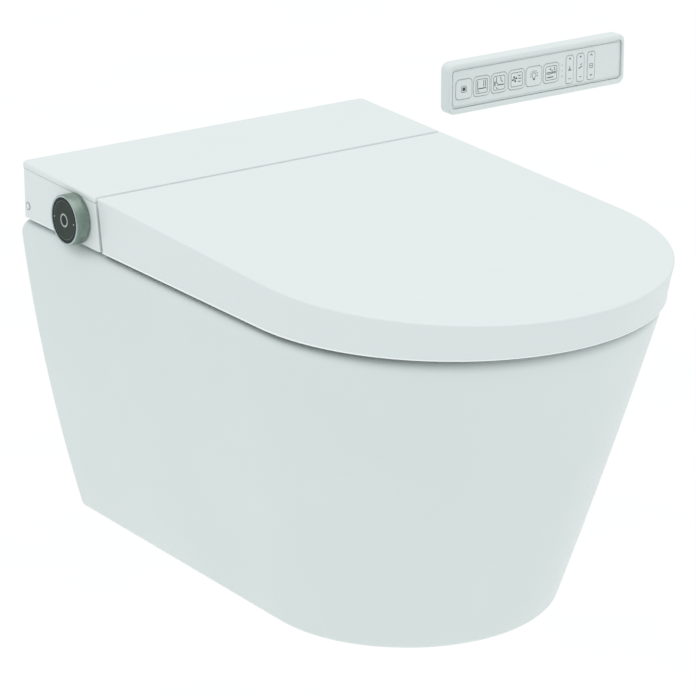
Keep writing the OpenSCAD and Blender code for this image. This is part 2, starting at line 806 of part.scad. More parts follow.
module rocker_cap(i) {
    color("#e4edec") at_remote() translate(rocker_centre(i)) {
        wall_plate(rocker_w, rocker_h, 3, -12.4, -10.8);
        translate([0, -10.4, 0]) x_cylinder(1 - rocker_w / 2, rocker_w / 2 - 1, 1.2);
    }
}
module rocker_pressure() { rocker_cap(0); }
module rocker_position() { rocker_cap(1); }
module rocker_temperature() { rocker_cap(2); }

ceramic_pan();
flush_inlet_seal();
waste_outlet_seal();
wall_fixing_sleeves();
deck_gasket();
base_plate();
base_bolts();
housing_shell();
top_cover();
cover_screws();
hinge_towers();
hinge_screws();
hinge_pins();
hinge_dampers();
lid_shell();
lid_liner();
lid_bumpers();
lid_hinge_arms();
seat_top();
seat_underside();
seat_heater();
seat_bumpers();
seat_hinge_arms();
dial_ring();
dial_glass();
dial_encoder();
power_button();
control_board();
water_heater();
inlet_valve();
supply_hose();
mains_gland();
night_light();
dryer_scroll();
dryer_motor();
dryer_fan();
wand_guide();
wand_motor();
wand_pinion();
wand_tube();
wand_nozzle();
wand_shield();
remote_holder();
remote_case();
remote_face();
remote_board();
remote_batteries();
key_stop();
key_rear_wash();
key_front_wash();
key_dryer();
key_light();
key_flush();
rocker_pressure();
rocker_position();
rocker_temperature();
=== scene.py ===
import json
import math

import bmesh
import bpy
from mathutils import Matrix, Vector


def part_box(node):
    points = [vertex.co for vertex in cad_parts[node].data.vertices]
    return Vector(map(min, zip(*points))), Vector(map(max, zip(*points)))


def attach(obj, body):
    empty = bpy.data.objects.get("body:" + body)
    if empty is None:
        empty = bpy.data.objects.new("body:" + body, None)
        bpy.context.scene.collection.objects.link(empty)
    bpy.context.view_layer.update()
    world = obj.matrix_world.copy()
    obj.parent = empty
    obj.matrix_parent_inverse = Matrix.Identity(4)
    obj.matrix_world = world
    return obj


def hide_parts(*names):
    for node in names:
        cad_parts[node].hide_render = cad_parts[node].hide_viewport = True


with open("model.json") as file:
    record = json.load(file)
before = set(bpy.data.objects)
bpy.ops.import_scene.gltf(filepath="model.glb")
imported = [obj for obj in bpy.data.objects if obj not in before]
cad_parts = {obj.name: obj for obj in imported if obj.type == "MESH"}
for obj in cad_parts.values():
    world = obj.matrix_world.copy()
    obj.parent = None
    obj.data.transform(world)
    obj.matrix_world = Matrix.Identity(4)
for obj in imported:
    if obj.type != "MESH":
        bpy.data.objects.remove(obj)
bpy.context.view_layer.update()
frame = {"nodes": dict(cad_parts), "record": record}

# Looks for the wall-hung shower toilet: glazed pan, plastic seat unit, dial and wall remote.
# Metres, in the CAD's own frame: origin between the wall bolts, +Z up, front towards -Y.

MM = 0.001


# ---------------------------------------------------------------- driving sizes, from the frame

lid_low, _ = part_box("lid_shell")
_, cover_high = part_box("top_cover")
pan_low, pan_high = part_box("ceramic_pan")
dial_low, dial_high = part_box("dial_ring")
button_low, button_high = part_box("power_button")
holder_low, holder_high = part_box("remote_holder")
face_low, face_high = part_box("remote_face")
seat_low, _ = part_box("seat_top")

HALF = cover_high.x                       # half width of housing and lid
LID_L = -lid_low.y                        # wall to the front of the lid
SKIRT_Z = lid_low.z                       # lower edge of lid and housing
TOP_Z = cover_high.z                      # top at the wall
RIM_Z = pan_high.z
FOOT_Z = pan_low.z
SLOPE = 0.036                             # fall of the top towards the front
SEAM_Z = 132 * MM                         # a height near the housing's top
SEAM_Y = 126.8 * MM                       # the housing's depth at that height
SEAM_TAN = math.tan(math.radians(8.3))    # lean of the housing's front
SEAM_GAP = 3 * MM                         # wider than the CAD's 2.2 mm, so that the seam shows
COVER_RIM = 6.5 * MM                      # height of the cover's rim at the wall
COVER_TAPER = 0.0092                      # its loss of height towards the front, per length
LID_REAR_TOP = 131.9 * MM                 # height of the lid's top along the seam
LID_TAPER = 9.6 * MM                      # the lid's front leans back this much towards its lower edge
LID_KNEE = (-387 * MM, -394.5 * MM)       # where the lid's straight sides end, at its foot and top
LEDGE = 0.7 * MM                          # the lid's sides stand back this far above its lower edge
SHELL_T = 3 * MM
PAN_HALF = (135.5 * MM, HALF + 4.3 * MM)  # half width of the pan, at its foot and rim
PAN_BULGE = 0.45                          # share by which its sides swell between the two
PAN_L = (469 * MM, LID_L - 16.3 * MM)     # length of the pan, at its foot and rim
CERAMIC_T = 12 * MM
HINGE = Vector((0, -152.4 * MM, 123 * MM))


def mix(a, b, t):
    return a + (b - a) * t


def top_at(y):
    return TOP_Z + SLOPE * y


def cover_edge_at(y):
    """Height of the joint line between top cover and housing."""
    return TOP_Z - COVER_RIM + (SLOPE - COVER_TAPER) * y


def seam_at(z):
    """Front face of the housing at a height."""
    return -SEAM_Y - (SEAM_Z - z) * SEAM_TAN


def lid_rear_at(z):
    return seam_at(z) - SEAM_GAP


# ---------------------------------------------------------------- mesh helpers

def new_piece(name, bm, material, smooth_deg=32):
    """A mesh object from bm, with outward normals, smooth except at edges sharper than smooth_deg."""
    bmesh.ops.recalc_face_normals(bm, faces=bm.faces)
    mesh = bpy.data.meshes.new(name)
    bm.to_mesh(mesh)
    bm.free()
    mesh.materials.append(material)
    piece = bpy.data.objects.new(name, mesh)
    bpy.context.collection.objects.link(piece)
    shade(piece, smooth_deg)
    return piece


def shade(piece, smooth_deg=32):
    piece.data.polygons.foreach_set("use_smooth", [True] * len(piece.data.polygons))
    piece.data.set_sharp_from_angle(angle=math.radians(smooth_deg))


def add_loft(bm, rings, closed=False):
    """Skins a chain of rings of (x, y, z) points; caps both ends unless the chain closes on itself."""
    rows = [[bm.verts.new(p) for p in ring] for ring in rings]
    pairs = list(zip(rows, rows[1:]))
    if closed:
        pairs.append((rows[-1], rows[0]))
    for a, b in pairs:
        n = len(a)
        for i in range(n):
            k = (i + 1) % n
            bm.faces.new((a[i], b[i], b[k], a[k]))
    if not closed:
        bm.faces.new(rows[0])
        bm.faces.new(rows[-1])
    return bm


def loft(rings, closed=False):
    return add_loft(bmesh.new(), rings, closed)


def add_box(bm, low, high):
    corners = [bm.verts.new((x, y, z)) for z in (low[2], high[2])
               for x, y in ((low[0], low[1]), (high[0], low[1]), (high[0], high[1]), (low[0], high[1]))]
    for f in ((3, 2, 1, 0), (4, 5, 6, 7), (0, 1, 5, 4), (1, 2, 6, 5), (2, 3, 7, 6), (3, 0, 4, 7)):
        bm.faces.new([corners[i] for i in f])
    return bm


def box_mesh(low, high):
    return add_box(bmesh.new(), low, high)


def ring_about(centre, axis, radius, count, start=0.0):
    """Circle of points about an axis."""
    axis = Vector(axis).normalized()
    side = axis.orthogonal().normalized()
    up = axis.cross(side)
    return [Vector(centre) + radius * (math.cos(a) * side + math.sin(a) * up)
            for a in (start + 2 * math.pi * i / count for i in range(count))]


def rod_mesh(p, q, radius, count=48):
    axis = Vector(q) - Vector(p)
    return loft([ring_about(p, axis, radius, count), ring_about(q, axis, radius, count)])


def lathe(centre, axis, profile, count=96):
    """Solid of revolution: profile is (distance along the axis, radius) pairs, from end to end."""
    axis = Vector(axis).normalized()
    return loft([ring_about(Vector(centre) + axis * d, axis, max(r, 1e-5), count) for d, r in profile])


def tube_mesh(path, radius, count=32):
    """Round bar along a path, its bends mitred."""
    rings = []
    side = None
    for i, p in enumerate(path):
        before = (Vector(p) - Vector(path[i - 1])).normalized() if i else None
        after = (Vector(path[i + 1]) - Vector(p)).normalized() if i < len(path) - 1 else None
        axis = ((before or after) + (after or before)).normalized()
        side = (side - axis * side.dot(axis)).normalized() if side else axis.orthogonal().normalized()
        up = axis.cross(side)
        rings.append([Vector(p) + radius * (math.cos(a) * side + math.sin(a) * up)
                      for a in (2 * math.pi * k / count for k in range(count))])
    return loft(rings)


def cutter(bm):
    """A hidden solid for carve()."""
    bmesh.ops.recalc_face_normals(bm, faces=bm.faces)
    mesh = bpy.data.meshes.new("cutter")
    bm.to_mesh(mesh)
    bm.free()
    solid = bpy.data.objects.new("cutter", mesh)
    bpy.context.collection.objects.link(solid)
    return solid


def carve(piece, cuts, joins=(), smooth_deg=32):
    """Adds the joins to a piece, then takes the cuts away from it."""
    steps = [(b, "UNION") for b in joins] + [(b, "DIFFERENCE") for b in cuts]
    solids = []
    for bm, operation in steps:
        solid = cutter(bm)
        solids.append(solid)
        modifier = piece.modifiers.new("carve", "BOOLEAN")
        modifier.operation = operation
        modifier.solver = "EXACT"
        modifier.object = solid
    depsgraph = bpy.context.evaluated_depsgraph_get()
    mesh = bpy.data.meshes.new_from_object(piece.evaluated_get(depsgraph))
    piece.modifiers.clear()
    piece.data = mesh
    for solid in solids:
        bpy.data.objects.remove(solid)
    shade(piece, smooth_deg)


def quarter(steps):
    """Angles over a quarter turn, as (cosine, sine)."""
    return [(math.cos(a), math.sin(a)) for a in (math.pi / 2 * i / steps for i in range(steps + 1))]


# ---------------------------------------------------------------- outlines, seen from above

SIDE_N, ARC_N, REAR_N, CORNER_N = 14, 84, 22, 4


def d_outline(half, rear, knee, front, corner):
    """D shape, anticlockwise from the left rear corner: straight sides and an elliptic front."""
    def between(p, q, count):
        steps = [i / (count + 1) for i in range(1, count + 1)]
        return [(mix(p[0], q[0], t), mix(p[1], q[1], t)) for t in steps]

    def corner_arc(sign, angles):
        return [(sign * (half - corner) + corner * math.cos(a), rear - corner + corner * math.sin(a))
                for a in angles]

    steps = [math.pi / 2 * i / CORNER_N for i in range(CORNER_N + 1)]
    left = corner_arc(-1, [math.pi / 2 + a for a in steps])
    right = corner_arc(1, steps)
    arc = [(half * math.cos(a), knee + (knee - front) * math.sin(a))
           for a in (math.pi + math.pi * i / ARC_N for i in range(ARC_N + 1))]
    return (left + between(left[-1], arc[0], SIDE_N) + arc + between(arc[-1], right[0], SIDE_N) + right
            + between(right[-1], left[0], REAR_N))


def oval_points(outline, half, length, centre, power):
    """Oval of given squareness, one point at the bearing of each outline point from the oval's centre."""
    points = []
    for x, y in outline:
        c, s = x, y - centre
        scale = (abs(c / half) ** power + abs(s / length) ** power) ** (-1 / power)
        points.append((c * scale, centre + s * scale))
    return points


# ---------------------------------------------------------------- materials

def shader(name):
    material = bpy.data.materials.new(name)
    material.use_nodes = True
    tree = material.node_tree
    return material, tree.nodes, tree.links, tree.nodes["Principled BSDF"]


def noise(nodes, links, scale, detail=3.0, rough=0.5):
    place = nodes.new("ShaderNodeTexCoord")
    texture = nodes.new("ShaderNodeTexNoise")
    texture.inputs["Scale"].default_value = scale
    texture.inputs["Detail"].default_value = detail
    texture.inputs["Roughness"].default_value = rough
    links.new(place.outputs["Object"], texture.inputs["Vector"])
    return texture.outputs["Fac"]


def spread(nodes, links, value, low, high):
    """Maps a noise value onto low..high."""
    node = nodes.new("ShaderNodeMapRange")
    node.inputs["From Min"].default_value = 0.3
    node.inputs["From Max"].default_value = 0.7
    node.inputs["To Min"].default_value = low
    node.inputs["To Max"].default_value = high
    links.new(value, node.inputs["Value"])
    return node.outputs["Result"]


def tinted(nodes, links, value, dark, light):
    ramp = nodes.new("ShaderNodeValToRGB")
    ramp.color_ramp.elements[0].position = 0.3
    ramp.color_ramp.elements[0].color = (*dark, 1)
    ramp.color_ramp.elements[1].position = 0.7
    ramp.color_ramp.elements[1].color = (*light, 1)
    links.new(value, ramp.inputs["Fac"])
    return ramp.outputs["Color"]


def bumped(nodes, links, target, layers):
    """Chains bump nodes; layers are (height, strength, distance)."""
    normal = None
    for height, strength, distance in layers:
        node = nodes.new("ShaderNodeBump")
        node.inputs["Strength"].default_value = strength
        node.inputs["Distance"].default_value = distance
        links.new(height, node.inputs["Height"])
        if normal:
            links.new(normal, node.inputs["Normal"])
        normal = node.outputs["Normal"]
    links.new(normal, target.inputs["Normal"])


def plastic(name, colour, rough=(0.22, 0.3), drift=0.007, grain=1500, grain_depth=0.015, coat=0.0,
            wave=0.006, gloss=0.5):
    """Moulded plastic: faint colour drift, fine grain and the slow waviness of a moulding."""
    material, nodes, links, base = shader(name)
    light = tuple(min(1, c * (1 + drift)) for c in colour)
    dark = tuple(c * (1 - drift) for c in colour)
    links.new(tinted(nodes, links, noise(nodes, links, 9, 4), dark, light), base.inputs["Base Color"])
    links.new(spread(nodes, links, noise(nodes, links, 35, 5), *rough), base.inputs["Roughness"])
    base.inputs["Coat Weight"].default_value = coat
    base.inputs["Coat Roughness"].default_value = 0.06
    base.inputs["Specular IOR Level"].default_value = gloss
    bumped(nodes, links, base, [(noise(nodes, links, grain, 2), grain_depth, 0.0002),
                                (noise(nodes, links, 22, 1), wave, 0.0008)])
    return material


def glaze(name, colour):
    """Vitreous china: milky body under a clear, slightly wavy glaze with a few pinholes."""
    material, nodes, links, base = shader(name)
    light = tuple(min(1, c * 1.012) for c in colour)
    dark = tuple(c * 0.985 for c in colour)
    links.new(tinted(nodes, links, noise(nodes, links, 6, 5), dark, light), base.inputs["Base Color"])
    links.new(spread(nodes, links, noise(nodes, links, 28, 6), 0.34, 0.42), base.inputs["Roughness"])
    base.inputs["Coat Weight"].default_value = 0.12
    base.inputs["Coat Roughness"].default_value = 0.08
    base.inputs["Specular IOR Level"].default_value = 0.25
    base.inputs["Subsurface Weight"].default_value = 0.05
    base.inputs["Subsurface Radius"].default_value = (0.004, 0.004, 0.004)
    pits = nodes.new("ShaderNodeTexVoronoi")
    pits.inputs["Scale"].default_value = 240
    place = nodes.new("ShaderNodeTexCoord")
    links.new(place.outputs["Object"], pits.inputs["Vector"])
    bumped(nodes, links, base, [(noise(nodes, links, 14, 2), 0.05, 0.0015),
                                (pits.outputs["Distance"], 0.01, 0.0001)])
    return material


def metal(name, colour, rough=(0.25, 0.4), scale=60, stretch=(1, 1, 1), depth=0.05):
    """Cast, brushed or anodised metal; stretch draws the grain out along an axis."""
    material, nodes, links, base = shader(name)
    place = nodes.new("ShaderNodeTexCoord")
    mapping = nodes.new("ShaderNodeMapping")
    mapping.inputs["Scale"].default_value = stretch
    texture = nodes.new("ShaderNodeTexNoise")
    texture.inputs["Scale"].default_value = scale
    texture.inputs["Detail"].default_value = 6
    links.new(place.outputs["Object"], mapping.inputs["Vector"])
    links.new(mapping.outputs["Vector"], texture.inputs["Vector"])
    light = tuple(min(1, c * 1.08) for c in colour)
    dark = tuple(c * 0.9 for c in colour)
    links.new(tinted(nodes, links, texture.outputs["Fac"], dark, light), base.inputs["Base Color"])
    links.new(spread(nodes, links, texture.outputs["Fac"], *rough), base.inputs["Roughness"])
    base.inputs["Metallic"].default_value = 1.0
    bumped(nodes, links, base, [(texture.outputs["Fac"], depth, 0.0003)])
    return material


def rubber(name, colour):
    material, nodes, links, base = shader(name)
    light = tuple(c * 1.15 for c in colour)
    dark = tuple(c * 0.85 for c in colour)
    links.new(tinted(nodes, links, noise(nodes, links, 60, 6), dark, light), base.inputs["Base Color"])
    links.new(spread(nodes, links, noise(nodes, links, 150, 4), 0.55, 0.8), base.inputs["Roughness"])
    bumped(nodes, links, base, [(noise(nodes, links, 900, 4), 0.25, 0.0003)])
    return material


def dark_lens(name):
    """Smoked glass over a dark plate: a faint mottled green-grey below a clear coat."""
    material, nodes, links, base = shader(name)
    mottle = noise(nodes, links, 90, 4)
    links.new(tinted(nodes, links, mottle, (0.014, 0.026, 0.019), (0.022, 0.038, 0.029)),
              base.inputs["Base Color"])
    links.new(spread(nodes, links, noise(nodes, links, 300, 3), 0.1, 0.2), base.inputs["Roughness"])
    base.inputs["Specular IOR Level"].default_value = 0.12
    bumped(nodes, links, base, [(noise(nodes, links, 40, 1), 0.03, 0.0005)])
    return material


def circuit(name):
    """Solder mask with the blocky shade of copper fills under it."""
    material, nodes, links, base = shader(name)
    place = nodes.new("ShaderNodeTexCoord")
    tracks = nodes.new("ShaderNodeTexBrick")
    tracks.inputs["Scale"].default_value = 90
    tracks.inputs["Color1"].default_value = (0.012, 0.10, 0.045, 1)
    tracks.inputs["Color2"].default_value = (0.015, 0.13, 0.06, 1)
    tracks.inputs["Mortar"].default_value = (0.03, 0.2, 0.09, 1)
    links.new(place.outputs["Object"], tracks.inputs["Vector"])
    links.new(tracks.outputs["Color"], base.inputs["Base Color"])
    links.new(spread(nodes, links, noise(nodes, links, 200, 3), 0.3, 0.45), base.inputs["Roughness"])
    bumped(nodes, links, base, [(tracks.outputs["Fac"], 0.1, 0.0002)])
    return material


def frosted(name):
    material, nodes, links, base = shader(name)
    links.new(tinted(nodes, links, noise(nodes, links, 120, 3), (0.80, 0.77, 0.64), (0.9, 0.88, 0.76)),
              base.inputs["Base Color"])
    links.new(spread(nodes, links, noise(nodes, links, 500, 3), 0.35, 0.55), base.inputs["Roughness"])
    base.inputs["Transmission Weight"].default_value = 0.4
    bumped(nodes, links, base, [(noise(nodes, links, 900, 2), 0.2, 0.0002)])
    return material


WHITE = (0.738, 0.797, 0.793)
CHINA = (0.700, 0.770, 0.762)
materials = {
    "ceramic": glaze("glazed_ceramic", CHINA),
    "shell_white": plastic("gloss_white_plastic", WHITE, rough=(0.34, 0.42), coat=0.08, gloss=0.3),
    "inner_white": plastic("satin_white_plastic", (0.66, 0.69, 0.69), rough=(0.4, 0.55), grain_depth=0.08),
    "seal_rubber": rubber("black_rubber", (0.035, 0.042, 0.042)),
    "bumper_rubber": rubber("grey_rubber", (0.42, 0.46, 0.46)),
    "zinc": metal("cast_zinc", (0.50, 0.53, 0.53), rough=(0.35, 0.5), scale=220, depth=0.12),
    "steel": metal("brushed_steel", (0.60, 0.62, 0.63), stretch=(1, 1, 12), scale=90),
    "dial_metal": metal("satin_anodised", (0.275, 0.345, 0.305), rough=(0.34, 0.42), scale=140,
                        stretch=(9, 1, 1)),
    "dial_glass": dark_lens("smoked_glass"),
    "dark_plastic": plastic("black_plastic", (0.03, 0.034, 0.034), rough=(0.45, 0.6), grain_depth=0.15),
    "circuit_board": circuit("circuit_board"),
    "heater_case": metal("cast_aluminium", (0.58, 0.6, 0.6), rough=(0.4, 0.55), scale=260, depth=0.15),
    "brass": metal("brass", (0.62, 0.47, 0.2), rough=(0.25, 0.4), scale=80),
    "heater_foil": metal("copper_foil", (0.6, 0.38, 0.22), rough=(0.3, 0.45), scale=120),
    "hose": rubber("silicone_hose", (0.55, 0.6, 0.6)),
    "lamp_lens": frosted("frosted_lens"),
    "remote_white": plastic("satin_remote_plastic", (0.735, 0.79, 0.785), rough=(0.38, 0.48),
                            grain_depth=0.04, gloss=0.35),
    "battery_steel": metal("battery_steel", (0.62, 0.63, 0.64), stretch=(1, 12, 1), scale=120),
}
icon_ink = plastic("icon_ink", (0.05, 0.062, 0.06), rough=(0.5, 0.6))
line_ink = plastic("line_ink", (0.42, 0.47, 0.465), rough=(0.5, 0.6))
# Glossier white for the beads along the lower edges of lid and housing; its lighter colour is a painted
# highlight line.
painted_highlight_white = plastic("painted_highlight_bead", (0.90, 0.94, 0.935), rough=(0.2, 0.3), gloss=0.5)
# Near-black for a strip under the lid's lower edge: painted shade in the gap between lid and pan, not a real
# seal.
painted_shade_dark = rubber("painted_shade_dark", (0.075, 0.09, 0.09))
seal_grey = plastic("seal_grey", (0.22, 0.25, 0.245), rough=(0.5, 0.6))
dial_mark = plastic("dial_mark", (0.60, 0.69, 0.66), rough=(0.4, 0.5))
dial_ring_ink = plastic("dial_ring_ink", (0.38, 0.45, 0.42), rough=(0.4, 0.5))
dial_circle_ink = plastic("dial_circle_ink", (0.16, 0.20, 0.19), rough=(0.4, 0.5))
dial_edge = metal("polished_edge", (0.42, 0.49, 0.52), rough=(0.2, 0.3), scale=140)
dial_band = plastic("dial_dark_band", (0.010, 0.018, 0.020), rough=(0.3, 0.4), gloss=0.1)

slot_of = {s["node"]: s["material_slot"] for s in frame["record"]["subparts"]}


def dress_cad_nodes():
    """Every CAD node that stays in view takes its slot's finish and softened shading."""
    for name, node in frame["nodes"].items():
        node.data.materials.clear()
        node.data.materials.append(materials[slot_of[name]])
        shade(node, 30)


# ---------------------------------------------------------------- ceramic pan

def pan_half(z):
    t = (z - FOOT_Z) / (RIM_Z - FOOT_Z)
    return mix(*PAN_HALF, t + PAN_BULGE * t * (1 - t))


def pan_length(z):
    return mix(*PAN_L, (z - FOOT_Z) / (RIM_Z - FOOT_Z))


def pan_outline(z, inset):
    half = pan_half(z) - inset
    front = -pan_length(z) + inset
    return d_outline(half, 0.0, front + half, front, 3 * MM)


def pan_ring(z, inset):
    return [(x, y, z) for x, y in pan_outline(z, inset)]


BOWL = [  # height, half width, half length, centre, squareness, in mm
    (-150, 28, 30, -272, 2), (-142, 36, 40, -276, 2), (-128, 46, 52, -281, 2), (-100, 64, 76, -298, 2.1),
    (-75, 83, 100, -317, 2.2), (-50, 102, 124, -334, 2.3), (-15, 119, 143, -346, 2.4),
    (20, 133, 158, -355, 2.5), (50, 140, 165.5, -359, 2.5), (68, 143.2, 169.2, -361, 2.5)]
BOWL_EDGE = (146, 172, -361, 2.5)         # the same for the bowl's edge at the rim, without the height
OUTLET_Z, INLET_Z = -100, 35              # heights of waste outlet and flush inlet in mm
BOLT_X = 90                               # the wall bolts stand this far to each side, in mm


def bowl_ring(z, half, length, centre, power):
    plan = oval_points(pan_outline(RIM_Z, 0), half * MM, length * MM, centre * MM, power)
    return [(x, y, z * MM) for x, y in plan]


def pan_rings():
    rings = []
    foot_r, rim_r, lip_r = 7 * MM, 12.5 * MM, 6
    for c, s in quarter(5):
        rings.append(pan_ring(FOOT_Z + foot_r * (1 - c), foot_r * (1 - s)))
    for i in range(1, 15):
        rings.append(pan_ring(mix(FOOT_Z + foot_r, RIM_Z - rim_r, i / 15), 0))
    for c, s in quarter(7):
        rings.append(pan_ring(RIM_Z - rim_r + rim_r * s, rim_r * (1 - c)))
    rings.append(pan_ring(RIM_Z, rim_r + 1 * MM))
    edge = RIM_Z / MM
    half, length, centre, power = BOWL_EDGE
    rings.append(bowl_ring(edge, half + lip_r + 1, length + lip_r + 1, centre, power))
    for c, s in quarter(5):
        grow = lip_r * (1 - s) - 2 * (1 - c)
        rings.append(bowl_ring(edge - lip_r * (1 - c), half + grow, length + grow, centre, power))
    rings += [bowl_ring(*section) for section in reversed(BOWL)]
    return rings


def hollow_rings():
    levels = [(FOOT_Z + CERAMIC_T, 4 * MM), (FOOT_Z + CERAMIC_T + 5 * MM, 0)]
    levels += [(z * MM, 0) for z in (-140, -60, 10, 50)]
    levels += [(RIM_Z - 20 * MM, 2 * MM), (RIM_Z - 14 * MM, 8 * MM)]
    rings = []
    for z, inset in levels:
        ring = pan_ring(z, CERAMIC_T + inset)
        rings.append([(x, y + 6 * MM if y > -20 * MM else y, z) for x, y, z in ring])
    return rings


TRAP = [(0, -272, -128), (0, -245, -146), (0, -212, -152), (0, -180, -122), (0, -152, -72), (0, -128, -58),
        (0, -100, -66), (0, -80, -86), (0, -60, -98)]
FLUSH = [(0, -52, 32), (0, -200, 2)]


def scaled(points):
    return [Vector(p) * MM for p in points]


def y_rod(x, y0, y1, z, radius):
    return rod_mesh(Vector((x, y0, z)) * MM, Vector((x, y1, z)) * MM, radius * MM)


def slot_box():
    """The sloping channel in the rim that the wand runs through."""
    bm = box_mesh((-0.017, -0.040, -0.078), (0.017, 0.013, 0.046))
    tilt = math.radians(-70)
    for v in bm.verts:
        x, y, z = v.co
        v.co = Vector((x, -0.131 + y * math.cos(tilt) - z * math.sin(tilt),
                       0.081 + y * math.sin(tilt) + z * math.cos(tilt)))
    return bm


def build_pan():
    pan = new_piece("glazed_pan", loft(pan_rings()), materials["ceramic"])
    hollow = cutter(loft(hollow_rings()))
    wall = 11
    bowl_back = [(-162, 28, 30, -272, 2)] + BOWL[1:-1] + [(75, 144, 170, -361, 2.5)]
    kept_inside = [
        loft([bowl_ring(z, half + wall, length + wall, *rest) for z, half, length, *rest in bowl_back]),
        box_mesh((-0.029, -0.200, 0.020), (0.029, -0.096, 0.078)),
        box_mesh((-0.116, -0.014, -0.044), (0.116, 0.010, 0.078)),
        tube_mesh(scaled(TRAP + [(0, -2, OUTLET_Z)]), 36 * MM),
        y_rod(0, -78, -50, OUTLET_Z, 49),
        y_rod(0, -50, -2, OUTLET_Z, 51),
        y_rod(0, -46, -1, INLET_Z, 38),
        rod_mesh(*scaled(FLUSH), 27 * MM),
    ]
    carve(hollow, kept_inside)
    bm = bmesh.new()
    bm.from_mesh(hollow.data)
    bpy.data.objects.remove(hollow)
    cuts = [bm, tube_mesh(scaled(TRAP), 27 * MM), y_rod(0, -66, 1, OUTLET_Z, 42),
            y_rod(0, -30, 1, INLET_Z, 27.5), y_rod(0, -40, -29, INLET_Z, 26), y_rod(0, -60, -39, 34.6, 20),
            rod_mesh(*scaled([(0, -50, 32), (0, -218, -2)]), 19 * MM), slot_box(),
            box_mesh((-0.140, -0.112, 0.06), (-0.060, -0.030, 0.081)),
            box_mesh((0.060, -0.112, 0.06), (0.150, -0.030, 0.081))]
    for side in (-1, 1):
        cuts.append(y_rod(side * BOLT_X, -20, 1, 0, 14))
    carve(pan, cuts)
    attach(pan, "pan")
    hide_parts("ceramic_pan")


# ---------------------------------------------------------------- housing and cover


def housing_outline(z, inset, corner=4 * MM):
    """Rounded rectangle of the housing at a height, as a D outline with a square front."""
    half = HALF - inset
    front, rear = seam_at(z) + inset, -inset
    def arc(cx, cy, start, radius):
        return [(cx + radius * math.cos(start + a), cy + radius * math.sin(start + a))
                for a in (math.pi / 2 * i / 5 for i in range(6))]
    front_r = 1.2 * MM
    return (arc(-half + corner, rear - corner, math.pi / 2, corner)
            + arc(-half + front_r, front + front_r, math.pi, front_r)
            + arc(half - front_r, front + front_r, 1.5 * math.pi, front_r)
            + arc(half - corner, rear - corner, 0, corner))


def housing_ring(z_of, inset, corner=4 * MM):
    """Ring whose height follows z_of(y), so that it can lie on a slope."""
    z_front = z_of(-SEAM_Y)
    return [(x, y, z_of(y)) for x, y in housing_outline(z_front, inset, corner)]


def build_housing():
    wall, edge, ledge = 2.5 * MM, 0.9 * MM, 0.35 * MM
    rings = [housing_ring(lambda y: cover_edge_at(y) - 1 * MM, wall),
             housing_ring(lambda y: SKIRT_Z + 0.4 * MM, wall),
             housing_ring(lambda y: SKIRT_Z, wall - 0.4 * MM)]
    for c, s in quarter(2):
        rings.append(housing_ring(lambda y, c=c: SKIRT_Z + 0.3 * MM * (1 - c), ledge + 0.3 * MM * (1 - s)))
    for t in (0.04, 0.06, 0.5, 0.9):
        rings.append(housing_ring(lambda y, t=t: mix(SKIRT_Z + edge, cover_edge_at(y), t), ledge))
    for c, s in quarter(2):
        rings.append(housing_ring(lambda y, s=s: cover_edge_at(y) - 0.4 * MM * (1 - s),
                                  ledge + 0.4 * MM * (1 - c)))
    rings.append(housing_ring(lambda y: cover_edge_at(y), wall - 0.3 * MM))
    shell = new_piece("housing_body", loft(rings, closed=True), materials["shell_white"])
    wand_way = (-0.016, -0.14, 0.08), (0.016, -0.124, 0.095)
    dryer_way = (-0.072, -0.14, 0.088), (-0.030, -0.124, 0.097)
    lamp_way = (0.038, -0.14, 0.088), (0.062, -0.124, 0.094)
    gland_way = (-0.064, -0.004, 0.106), (-0.064, 0.001, 0.106)
    shaft = (dial_low + dial_high) / 2
    press = (button_low + button_high) / 2
    carve(shell, [
        rod_mesh((-HALF - 0.002, shaft.y, shaft.z), (-HALF + 0.004, shaft.y, shaft.z), 5.5 * MM),
        rod_mesh((-HALF - 0.002, press.y, press.z), (-HALF + 0.004, press.y, press.z), 3.6 * MM),
        rod_mesh(*gland_way, 6.3 * MM), box_mesh(*wand_way), box_mesh(*dryer_way), box_mesh(*lamp_way)])
    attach(shell, "pan")
    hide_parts("housing_shell")
    # Bead along the housing's lower edge in the lighter white: a painted highlight line.
    loop = [(0.05, 0.4), (0.3, 0.05), (0.8, 0.05), (1.2, 0.35), (1.2, 1.5), (0.05, 1.5)]
    rings = [housing_ring(lambda y, h=h: SKIRT_Z + h * MM, inset * MM) for h, inset in loop]
    bead = new_piece("housing_highlight_bead", loft(rings, closed=True), painted_highlight_white)
    carve(bead, [box_mesh(*wand_way)])
    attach(bead, "pan")


def cover_ring(z_of, side_inset, front_inset):
    """Housing ring with its own inset at the front edge, which stays crisp along the seam."""
    shift = side_inset - front_inset
    return [(x, y - shift * max(0, min(1, -y / SEAM_Y * 3 - 2)), z)
            for x, y, z in housing_ring(z_of, side_inset)]


def build_cover():
    gap, edge, front_edge = 0.4 * MM, 2.4 * MM, 0.5 * MM
    rings = [housing_ring(lambda y: top_at(y) - 4 * MM, 4 * MM),
             housing_ring(lambda y: cover_edge_at(y) + gap, 4 * MM)]
    for c, s in quarter(2):
        rings.append(housing_ring(lambda y, c=c: cover_edge_at(y) + gap + 0.4 * MM * (1 - c),
                                  0.4 * MM * (1 - s)))
    rings.append(housing_ring(lambda y: mix(cover_edge_at(y), top_at(y) - edge, 0.6), 0))
    for c, s in quarter(7):
        rings.append(cover_ring(lambda y, s=s: top_at(y) - edge * (1 - s), edge * (1 - c),
                                front_edge * (1 - c)))
    rings.append(cover_ring(top_at, edge + 0.8 * MM, front_edge + 0.8 * MM))
    cover = new_piece("housing_cover", loft(rings), materials["shell_white"])
    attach(cover, "pan")
    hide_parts("top_cover")


# ---------------------------------------------------------------- lid

def lid_outline(s, inset, rear):
    front = -mix(LID_L - LID_TAPER, LID_L, s) + inset
    return d_outline(HALF - inset, rear, mix(*LID_KNEE, s), front, 1.2 * MM)


